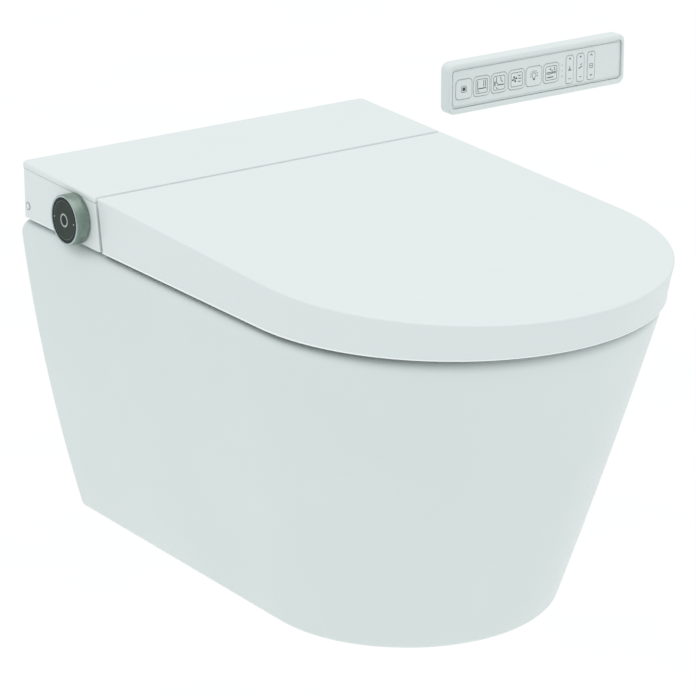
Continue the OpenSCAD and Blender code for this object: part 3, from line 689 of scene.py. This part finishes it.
def lid_ring(s, inset, rear_inset=None, drop=None):
    """Ring of the lid at a share s of its height, or drop below its top."""
    z_rear = LID_REAR_TOP - drop if drop is not None else mix(SKIRT_Z, LID_REAR_TOP, s)
    rear = lid_rear_at(z_rear) - (inset if rear_inset is None else rear_inset)
    plan = lid_outline(1.0 if drop is not None else s, inset, rear)
    if drop is not None:
        return [(x, y, top_at(y) - drop) for x, y in plan]
    return [(x, y, mix(SKIRT_Z, top_at(y), s)) for x, y in plan]


def inner_lid_ring(s, inset, drop=None):
    rear = lid_rear_at(128 * MM) - SHELL_T
    plan = lid_outline(s, inset, rear)
    if drop is None:
        return [(x, y, mix(SKIRT_Z, top_at(y), s)) for x, y in plan]
    return [(x, y, top_at(y) - drop) for x, y in plan]


def build_lid():
    """Outer solid less its cavity, with a lighter bead (a painted highlight) and a near-black strip (painted
    shade in the gap) along its lower edge.
    """
    t, edge, lip = SHELL_T, 1.5 * MM, 0.3 * MM
    rings = []
    for c, s in quarter(2):
        rings.append(lid_ring(0.008 * (1 - c), LEDGE + lip * (1 - s)))
    rings += [lid_ring(s, LEDGE) for s in (0.03, 0.05, 0.25, 0.5, 0.75)]
    for c, s in quarter(6):
        rings.append(lid_ring(1, LEDGE + edge * (1 - c), 0.3 * MM + 0.7 * MM * (1 - c), edge * (1 - s)))
    rings.append(lid_ring(1, LEDGE + edge + 0.8 * MM, 1.6 * MM, 0))
    lid = new_piece("lid_cover", loft(rings), materials["shell_white"])
    mouth = [(x, y, SKIRT_Z - 2 * MM) for x, y, z in inner_lid_ring(0, t - 0.6 * MM)]
    cavity = [mouth, inner_lid_ring(0.02, t), inner_lid_ring(0.5, t), inner_lid_ring(0.9, t, t + 3 * MM),
              inner_lid_ring(0.9, t + 1 * MM, t + 0.8 * MM), inner_lid_ring(0.95, t + 3 * MM, t)]
    foot = [(-138.7, 83), (-142, 78), (-128, 78), (-128, 98.5)]     # lets the rear corners pass the rim
    chamfer = [[(x, y * MM, z * MM) for y, z in foot] for x in (-HALF - 1 * MM, HALF + 1 * MM)]
    open_rear = (-HALF + t, -0.150, SKIRT_Z - 0.002), (HALF - t, -0.120, HINGE.z)
    carve(lid, [loft(cavity), loft(chamfer), box_mesh(*open_rear)])
    # Bead along the lid's lower edge in the lighter white: a painted highlight line.
    loop = [(0.05, 0.35), (0.3, 0), (0.9, 0), (1.5, 0.75), (1.5, 1.5), (0.1, 1.5)]
    rings = [[(x, y, SKIRT_Z + h * MM) for x, y, z in lid_ring(0, inset * MM)] for h, inset in loop]
    bead = new_piece("lid_highlight_bead", loft(rings, closed=True), painted_highlight_white)
    carve(bead, [loft(chamfer), box_mesh(*open_rear)])
    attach(bead, "lid")
    # Dark strip just inside the lid's lower edge: painted shade for the gap above the pan's rim.
    loop = [(-0.004, 0.5), (-0.004, 3.2), (0.04, 3.2), (0.04, 0.9), (0.002, 0.5)]
    rings = [lid_ring(s, inset * MM) for s, inset in loop]
    strip = new_piece("lid_painted_shade_strip", loft(rings, closed=True), painted_shade_dark)
    carve(strip, [loft(chamfer), box_mesh(*open_rear)])
    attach(strip, "lid")
    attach(lid, "lid")
    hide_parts("lid_shell")


# ---------------------------------------------------------------- seat

SEAT_LOW = seat_low.z
SEAT_REAR = -162 * MM
HOLE = (105, 149, -371, 2.3)              # half width, half length, centre, squareness in mm
NOTCH_X = (80 * MM, 108 * MM)             # the hinge towers stand in these
NOTCH_Y = -196 * MM


def seat_top_at(y):
    return 103 * MM + (y + 570 * MM) * 0.016


def seat_plan(inset):
    return d_outline(HALF - 5.6 * MM - inset, SEAT_REAR - inset, -372 * MM, seat_low.y + inset, 6 * MM)


def hole_plan(grow):
    half, length, centre, power = HOLE
    return oval_points(seat_plan(0), (half + grow) * MM, (length + grow) * MM, centre * MM, power)


def level(plan, z):
    return [(x, y, z) for x, y in plan]


def build_seat():
    """A dished ring: flat rim, soft inner slope, hollow below."""
    wall, cavity = 4 * MM, SEAT_LOW + 8 * MM
    rings = [level(seat_plan(wall), SEAT_LOW), level(seat_plan(0.8 * MM), SEAT_LOW),
             level(seat_plan(0), SEAT_LOW + 1 * MM), level(seat_plan(0), SEAT_LOW + 9 * MM)]
    edge = 5 * MM
    for c, s in quarter(8):
        rings.append([(x, y, seat_top_at(y) - edge * (1 - s)) for x, y in seat_plan(edge * (1 - c))])
    rim, inner = seat_plan(edge + 1 * MM), hole_plan(24)
    for t in (0, 0.25, 0.5, 0.75):
        dip = t * t * (3 - 2 * t)
        rings.append([(mix(a[0], b[0], t), mix(a[1], b[1], t),
                       mix(seat_top_at(a[1]), SEAT_LOW + 18.6 * MM, dip)) for a, b in zip(rim, inner)])
    for grow, rise in ((24, 18.6), (16, 17.5), (10, 16), (6, 14.7), (3, 13), (1, 11), (0, 9), (0, 0)):
        rings.append(level(hole_plan(grow), SEAT_LOW + rise * MM))
    rings += [level(hole_plan(4), SEAT_LOW), level(hole_plan(4), cavity), level(seat_plan(wall), cavity)]
    seat = new_piece("seat_ring", loft(rings, closed=True), materials["shell_white"])
    walls, notches = [], []
    for side in (-1, 1):
        x0, x1 = sorted((side * NOTCH_X[0], side * NOTCH_X[1]))
        walls.append(box_mesh((x0 - wall, NOTCH_Y - wall, SEAT_LOW + 0.2 * MM),
                              (x1 + wall, SEAT_REAR - 1 * MM, cavity + 1 * MM)))
        notches.append(box_mesh((x0, NOTCH_Y, SEAT_LOW - 2 * MM), (x1, SEAT_REAR + 20 * MM, 0.12)))
    carve(seat, notches, walls)
    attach(seat, "seat")
    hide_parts("seat_top")


# ---------------------------------------------------------------- dial and power button

def ring_lathe(centre, axis, loop, count=128):
    """Hollow solid of revolution from a closed loop of (distance, radius) pairs."""
    rings = [ring_about(Vector(centre) + Vector(axis) * d * MM, axis, r * MM, count) for d, r in loop]
    return loft(rings, closed=True)


def build_dial():
    seat_of_dial = Vector((-HALF, (dial_low.y + dial_high.y) / 2, (dial_low.z + dial_high.z) / 2))
    out = Vector((-1, 0, 0))
    reach = (-HALF - dial_low.x) / MM
    r = (dial_high.y - dial_low.y) / 2 / MM
    loop = [(-9, 3.2), (-9, 4.6), (-8.6, 5), (0.4, 5), (0.4, r - 0.9), (0.65, r - 0.3), (1.2, r)]
    loop += [(mix(1.2, reach - 1, t), r) for t in (0.3, 0.6, 1)]
    loop += [(reach - 0.6, r - 0.12), (reach - 0.3, r - 0.35), (reach - 0.12, r - 0.7),
             (reach - 0.12, r - 2.0), (reach - 0.4, r - 2.2), (reach - 3.6, r - 2.2), (reach - 3.6, 3.2)]
    ring = new_piece("dial_knob", ring_lathe(seat_of_dial, out, loop), materials["dial_metal"])
    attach(ring, "dial")
    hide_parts("dial_ring")
    bezel_loop = [(reach - 0.3, r - 2.15), (reach - 0.08, r - 1.95), (reach, r - 1.7), (reach, r - 0.95),
                  (reach - 0.08, r - 0.62), (reach - 0.3, r - 0.45), (reach - 0.5, r - 1.2)]
    bezel = new_piece("dial_bezel", ring_lathe(seat_of_dial, out, bezel_loop), dial_edge)
    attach(bezel, "dial")

    glass_r, front = r - 2.5, reach - 0.2
    profile = [(-10.5, 1e-3), (-10.5, 2.6), (-10.2, 2.9), (front - 2, 2.9), (front - 2, glass_r),
               (front - 0.35, glass_r), (front - 0.1, glass_r - 0.12), (front, glass_r - 0.4), (front, 17.9),
               (front - 0.14, 17.8), (front - 0.14, 17.5), (front, 17.4), (front, 12), (front, 6),
               (front, 1e-3)]
    body = lathe(seat_of_dial, out, [(d * MM, q * MM) for d, q in profile], 128)
    glass = new_piece("dial_lens", body, materials["dial_glass"])
    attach(glass, "dial_face")
    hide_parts("dial_glass")
    film = 0.03
    for name, inner, outer, base, material in (
            ("dial_band", 17.9, glass_r - 0.45, front, dial_band),
            ("dial_circle", 17.45, 17.85, front - 0.14, dial_circle_ink),
            ("dial_icon", 4.75, 6.2, front, dial_ring_ink), ("dial_centre", 0.01, 4.5, front, dial_band)):
        loop = [(base - 0.02, inner), (base - 0.02, outer), (base + film, outer), (base + film, inner)]
        mark = new_piece(name, ring_lathe(seat_of_dial, out, loop), material)
        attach(mark, "dial_face")
    for name, side in (("dial_dot_front", -1), ("dial_dot_rear", 1)):
        at = seat_of_dial + Vector((0, side * 16.5 * MM, 0))
        disc = lathe(at, out, [((front - 0.02) * MM, 0.6 * MM), ((front + film) * MM, 0.6 * MM)], 24)
        dot = new_piece(name, disc, dial_mark)
        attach(dot, "dial_face")


def build_power_button():
    centre = (button_low + button_high) / 2
    r = (button_high.y - button_low.y) / 2 / MM
    base = Vector((-HALF, centre.y, centre.z))
    profile = [(-4.5, 1e-3), (-4.5, r - 0.5), (-4.3, r - 0.3), (0, r - 0.3), (0.08, r - 0.35),
               (0.12, r - 0.6), (0.06, r - 1), (0.02, r - 1.6), (0, 1e-3)]
    cap = lathe(base, (-1, 0, 0), [(d * MM, q * MM) for d, q in profile], 64)
    button = new_piece("power_cap", cap, materials["shell_white"])
    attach(button, "power_button")
    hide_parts("power_button")
    loop = [(-1.2, r - 0.26), (-1.2, r + 0.36), (-0.02, r + 0.36), (-0.02, r - 0.26)]
    seal = new_piece("power_seal", ring_lathe(base, Vector((-1, 0, 0)), loop, 64), seal_grey)
    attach(seal, "pan")


# ---------------------------------------------------------------- wall remote

REMOTE = Vector(((holder_low.x + holder_high.x) / 2, 0, (holder_low.z + holder_high.z) / 2))
KEY_DROP = 1.6                            # in mm, like all of the remote's sizes below
KEY_FRONT = -12.4                         # front of keys and rockers
INK_FRONT = KEY_FRONT - 0.04
KEYS = ("key_stop", "key_rear_wash", "key_front_wash", "key_dryer", "key_light", "key_flush")
ROCKERS = ("rocker_pressure", "rocker_position", "rocker_temperature")


def rounded_rect(w, h, r, count=7):
    """Corner-rounded rectangle about the origin, as (x, z) in mm."""
    r = max(r, 0.05)
    points = []
    across, up = w / 2 - r, h / 2 - r
    for cx, cz, start in ((across, up, 0), (-across, up, 90), (-across, -up, 180), (across, -up, 270)):
        for i in range(count + 1):
            a = math.radians(start + 90 * i / count)
            points.append((cx + r * math.cos(a), cz + r * math.sin(a)))
    return points


def plate_rings(centre, w, h, r, levels):
    """Rings of a rounded plate in the wall plane; levels are (y, inset) in mm."""
    return [[(centre.x + x * MM, y * MM, centre.z + z * MM)
             for x, z in rounded_rect(w - 2 * i, h - 2 * i, r - i)] for y, i in levels]


def rounded_front(y, edge, steps=4):
    """Levels round a plate's front edge, from its side to its face at y."""
    return [(y + edge * (1 - s), edge * (1 - c)) for c, s in quarter(steps)] + [(y, edge + 0.25)]


def key_spot(i):
    return REMOTE + Vector(((-92.5 + 22 * i) * MM, 0, -KEY_DROP * MM))


def rocker_spot(i):
    return REMOTE + Vector(((41.4 + 13.9 * i) * MM, 0, -KEY_DROP * MM))


def ribbon(bm, points, width, y, closed=False, film=0.04):
    """A thin raised line through (x, z) points."""
    n = len(points)
    left, right = [], []
    for i, p in enumerate(points):
        before = points[i - 1] if i or closed else None
        after = points[(i + 1) % n] if i < n - 1 or closed else None
        directions = []
        for a, b in ((before, p), (p, after)):
            if a is not None and b is not None:
                d = Vector((b[0] - a[0], b[1] - a[1]))
                directions.append(d.normalized())
        mean = sum(directions, Vector((0, 0))).normalized()
        across = Vector((-mean.y, mean.x)) * (width / 2 / max(0.5, mean.dot(directions[0])))
        left.append((p[0] + across.x, p[1] + across.y))
        right.append((p[0] - across.x, p[1] - across.y))
    rows = [[bm.verts.new((x, depth, z)) for x, z in side]
            for side, depth in ((left, y), (right, y), (right, y + film), (left, y + film))]
    spans = range(n if closed else n - 1)
    for a, b in zip(rows, rows[1:] + rows[:1]):
        for i in spans:
            k = (i + 1) % n
            bm.faces.new((a[i], a[k], b[k], b[i]))
    if not closed:
        for i in (0, n - 1):
            bm.faces.new([row[i] for row in rows])


def patch(bm, points, y, film=0.04):
    """A thin filled shape."""
    front = [bm.verts.new((x, y, z)) for x, z in points]
    back = [bm.verts.new((x, y + film, z)) for x, z in points]
    bm.faces.new(front)
    bm.faces.new(back[::-1])
    for i in range(len(points)):
        k = (i + 1) % len(points)
        bm.faces.new((front[i], back[i], back[k], front[k]))


def arc(cx, cz, r, start, end, count=16):
    return [(cx + r * math.cos(a), cz + r * math.sin(a))
            for a in (math.radians(mix(start, end, i / count)) for i in range(count + 1))]


def slab(x0, x1, z0, z1):
    return [(x0, z0), (x1, z0), (x1, z1), (x0, z1)]


def icon_shapes():
    """For each key: (open lines, closed lines, filled shapes), in mm from the key's centre."""
    frame_line = rounded_rect(14.2, 14.2, 1.6)
    blade = [(0.3, 0.1), (1.3, -0.7), (2.6, -1.1), (3.4, -0.5), (3.3, 0.5), (2.3, 0.9), (1.1, 0.6)]
    blades = []
    for k in range(4):
        a = math.radians(90 * k + 20)
        c, s = math.cos(a), math.sin(a)
        blades.append([(-2.6 + x * c - z * s, 0.6 + x * s + z * c) for x, z in blade])
    rays = [[(3.6 * math.cos(a), 1 + 3.6 * math.sin(a)), (5.2 * math.cos(a), 1 + 5.2 * math.sin(a))]
            for a in (math.radians(d) for d in (-15, 22.5, 56, 90, 124, 157.5, 195))]
    bulb = arc(0, 1, 2.5, -50, 230, 20) + [(-0.95, -2.4), (0.95, -2.4)]
    waves = [[(x, z), (x + 1.1, z + 0.5), (x + 2.2, z), (x + 3.3, z + 0.5)]
             for x, z in ((1.6, 3.4), (2.4, 0.4), (1.6, -2.6))]
    return {
        "key_stop": ([], [rounded_rect(6.6, 6.2, 1.5)], [slab(-1.9, 1.9, -1.8, 1.8)]),
        "key_rear_wash": ([[(-4.9, 5.9), (-4.9, -1.2)], [(2.6, 5.9), (2.6, -1.0)], [(4.9, 5.9), (4.9, -1.0)],
                           [(-5.6, -3.8), (-3.0, -5.9)]], [frame_line], [slab(-5.7, 5.7, -2.9, -1.9)]),
        "key_front_wash": ([[(-3.4, 5.9), (-3.4, 0.4), (-1.6, -1.0)], [(1.6, 5.9), (2.4, 2.0), (4.4, 0.2)],
                            [(-4.2, -4.4), (-2.0, -5.9)]], [frame_line],
                           [slab(-2.4, 5.9, -2.7, -1.7),
                            [(-5.9, -3.0), (-4.9, -3.0), (-4.6, 1.2), (-5.4, 2.4), (-6.2, 1.2)]]),
        "key_dryer": (waves, [frame_line], blades),
        "key_light": (rays, [bulb], [slab(-1.2, 1.2, -4.0, -2.8)]),
        "key_flush": ([[(-6, -0.4), (-2, -0.9), (2, -0.2), (6, -0.6)], [(-6, 0.8), (6, 0.8)],
                       [(4.0, 5.9), (4.0, 3.2), (5.4, 2.0)]],
                      [frame_line],
                      [slab(-5.2, 2.8, -4.8, -3.8), arc(-1.2, 4.0, 0.9, 0, 345, 12),
                       arc(1.0, 2.6, 0.7, 0, 345, 12)])}


def rocker_shapes():
    plus, minus = [[(-1.1, 11.2), (1.1, 11.2)], [(0, 10.1), (0, 12.3)]], [[(-1.3, -9.6), (1.3, -9.6)]]
    warmer, cooler = [(-1.4, 10.6), (0, 12.0), (1.4, 10.6)], [(-1.4, -9.0), (0, -10.4), (1.4, -9.0)]
    return {
        "rocker_pressure": (plus + minus + [[(-1.7, -0.4), (0, 0.5), (1.7, -0.4)], [(0, 0.5), (0, 3.4)]], [],
                            [[(-1.9, -1.2), (1.9, -1.2), (1.9, -0.7), (-1.9, -0.7)]]),
        "rocker_position": (plus + minus + [[(-0.6, 2.9), (1.9, 3.7)]], [],
                            [[(-2.2, -1.3), (2.2, 0.7), (2.2, 1.7), (-2.2, -0.2)]]),
        "rocker_temperature": ([warmer, cooler], [rounded_rect(4.0, 4.4, 0.9)],
                               [slab(-1.3, 1.3, -0.4, 0.2)])}


def put_at(bm, spot):
    """Moves a drawing in mm to its key or rocker."""
    for v in bm.verts:
        v.co = Vector((spot.x + v.co.x * MM, v.co.y * MM, spot.z + v.co.z * MM))


def build_icon(name, spot, shapes, front, body):
    opened, closed, filled = shapes
    bm = bmesh.new()
    for points in opened:
        ribbon(bm, points, 0.75, front)
    for points in closed:
        ribbon(bm, points, 0.5, front, closed=True)
    for points in filled:
        patch(bm, points, front)
    put_at(bm, spot)
    icon = new_piece(name, bm, icon_ink)
    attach(icon, body)


def build_button(name, spot, size, corner, y_back, stem):
    """A key or rocker: a plate with a soft edge and its stem or axle."""
    levels = [(y_back, 0.2), (y_back - 0.2, 0)] + rounded_front(KEY_FRONT, 0.4)
    rings = plate_rings(spot, *size, corner, levels)
    cap = new_piece(name + "_cap", loft(rings), materials["remote_white"])
    carve(cap, [], [stem])
    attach(cap, name)
    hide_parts(name)
    outline = bmesh.new()
    edge = rounded_rect(size[0] - 0.7, size[1] - 0.7, corner - 0.35, 8)
    ribbon(outline, edge, 0.3, KEY_FRONT - 0.02, closed=True)
    put_at(outline, spot)
    line = new_piece(name + "_outline", outline, line_ink)
    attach(line, name)


def build_remote():
    w, h = (holder_high.x - holder_low.x) / MM, (holder_high.z - holder_low.z) / MM
    front = holder_low.y / MM
    pocket_w, pocket_h = 217, 41
    pocket = [(front, -0.7), (front + 0.15, -0.3), (front + 0.5, 0), (-3, 0), (-3, 3)]
    rings = plate_rings(REMOTE, w, h, 8, [(0, 0.6), (-0.6, 0), (-6, 0)] + rounded_front(front, 2.4, 7)[:-1])
    rings += plate_rings(REMOTE, pocket_w, pocket_h, 4.5, pocket)
    holder = new_piece("remote_cradle", loft(rings), materials["remote_white"])
    carve(holder, [rod_mesh(REMOTE + Vector((x, -5, 0)) * MM, REMOTE + Vector((x, 1, 0)) * MM, 2.2 * MM, 32)
                   for x in (-80, 80)])
    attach(holder, "pan")
    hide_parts("remote_holder")

    w, h = (face_high.x - face_low.x) / MM, (face_high.z - face_low.z) / MM
    rings = plate_rings(REMOTE, w, h, 2.8, [(-10.2, 0)] + rounded_front(-12, 0.3))
    face = new_piece("remote_panel", loft(rings), materials["remote_white"])
    through = [(-9, 0), (-13, 0)]
    holes = [loft(plate_rings(key_spot(i), 21, 21, 4.8, through)) for i in range(len(KEYS))]
    holes += [loft(plate_rings(rocker_spot(i), 10.4, 29.9, 3.4, through)) for i in range(len(ROCKERS))]
    for z in (-5.6, 0, 5.6):
        dot = REMOTE + Vector((32, -13, z - KEY_DROP)) * MM
        holes.append(rod_mesh(dot, dot + Vector((0, 4, 0)) * MM, 0.6 * MM, 20))
    carve(face, holes)
    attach(face, "remote")
    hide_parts("remote_face")

    for i, name in enumerate(KEYS):
        spot = key_spot(i)
        stem = rod_mesh((spot.x, -10.5 * MM, spot.z), (spot.x, -9.4 * MM, spot.z), 2 * MM, 32)
        build_button(name, spot, (20.2, 20.2), 4.4, -10.4, stem)
        build_icon(name + "_icon", spot, icon_shapes()[name], INK_FRONT, name)
    for i, name in enumerate(ROCKERS):
        spot = rocker_spot(i)
        axle = rod_mesh((spot.x - 3.8 * MM, -10.4 * MM, spot.z), (spot.x + 3.8 * MM, -10.4 * MM, spot.z),
                        1.2 * MM, 32)
        build_button(name, spot, (9.6, 29.1), 3, -10.8, axle)
        build_icon(name + "_icon", spot, rocker_shapes()[name], INK_FRONT, name)


# ---------------------------------------------------------------- camera, light, stage

CAMERA_AZIMUTH, CAMERA_ELEVATION = -35.298, 19.315     # degrees, from the front left and above
CAMERA_DISTANCE = 3.1633
CAMERA_SHIFT = (0.141944, -0.207231)      # its aim, right of and below the housing's top at the wall
CAMERA_LENS = 173.9924                    # in mm, for a sensor 36 mm wide


def build_camera():
    azimuth, elevation = math.radians(CAMERA_AZIMUTH), math.radians(CAMERA_ELEVATION)
    back = Vector((math.sin(azimuth) * math.cos(elevation), -math.cos(azimuth) * math.cos(elevation),
                   math.sin(elevation)))
    right = Vector((math.cos(azimuth), math.sin(azimuth), 0))
    up = back.cross(right)
    camera = bpy.data.objects.new("camera", bpy.data.cameras.new("camera"))
    bpy.context.collection.objects.link(camera)
    aim = Vector((0, 0, TOP_Z)) + right * CAMERA_SHIFT[0] + up * CAMERA_SHIFT[1]
    camera.location = aim + back * CAMERA_DISTANCE
    camera.rotation_euler = back.to_track_quat("Z", "Y").to_euler()
    camera.data.sensor_width = 36
    camera.data.lens = CAMERA_LENS
    camera.data.clip_end = 50
    bpy.context.scene.camera = camera


def soft_sun(name, direction, angle, strength, colour):
    """Parallel light with a very wide disc, as from a big overhead softbox."""
    light = bpy.data.objects.new(name, bpy.data.lights.new(name, "SUN"))
    light.data.angle = math.radians(angle)
    light.data.energy = strength
    light.data.color = colour
    light.rotation_euler = (-Vector(direction)).to_track_quat("Z", "Y").to_euler()
    bpy.context.collection.objects.link(light)


def build_stage():
    floor_mesh = bmesh.new()
    bmesh.ops.create_grid(floor_mesh, x_segments=1, y_segments=1, size=20)
    material, nodes, links, base = shader("pale_floor")
    links.new(tinted(nodes, links, noise(nodes, links, 2, 2), (0.93, 0.93, 0.93), (0.95, 0.95, 0.95)),
              base.inputs["Base Color"])
    base.inputs["Roughness"].default_value = 0.9
    base.inputs["Specular IOR Level"].default_value = 0.0
    floor = new_piece("floor", floor_mesh, material)
    floor.location.z = -1.6
    world = bpy.data.worlds.new("studio")
    world.use_nodes = True
    world.node_tree.nodes["Background"].inputs["Color"].default_value = (0.955, 1, 0.995, 1)
    world.node_tree.nodes["Background"].inputs["Strength"].default_value = 0.80
    bpy.context.scene.world = world
    soft_sun("overhead", (0.10, 0.12, -1), 70, 0.96, (1, 0.92, 0.925))
    bpy.context.scene.view_settings.view_transform = "Standard"


build_camera()
dress_cad_nodes()
build_pan()
build_housing()
build_cover()
build_lid()
build_seat()
build_dial()
build_power_button()
build_remote()
build_stage()
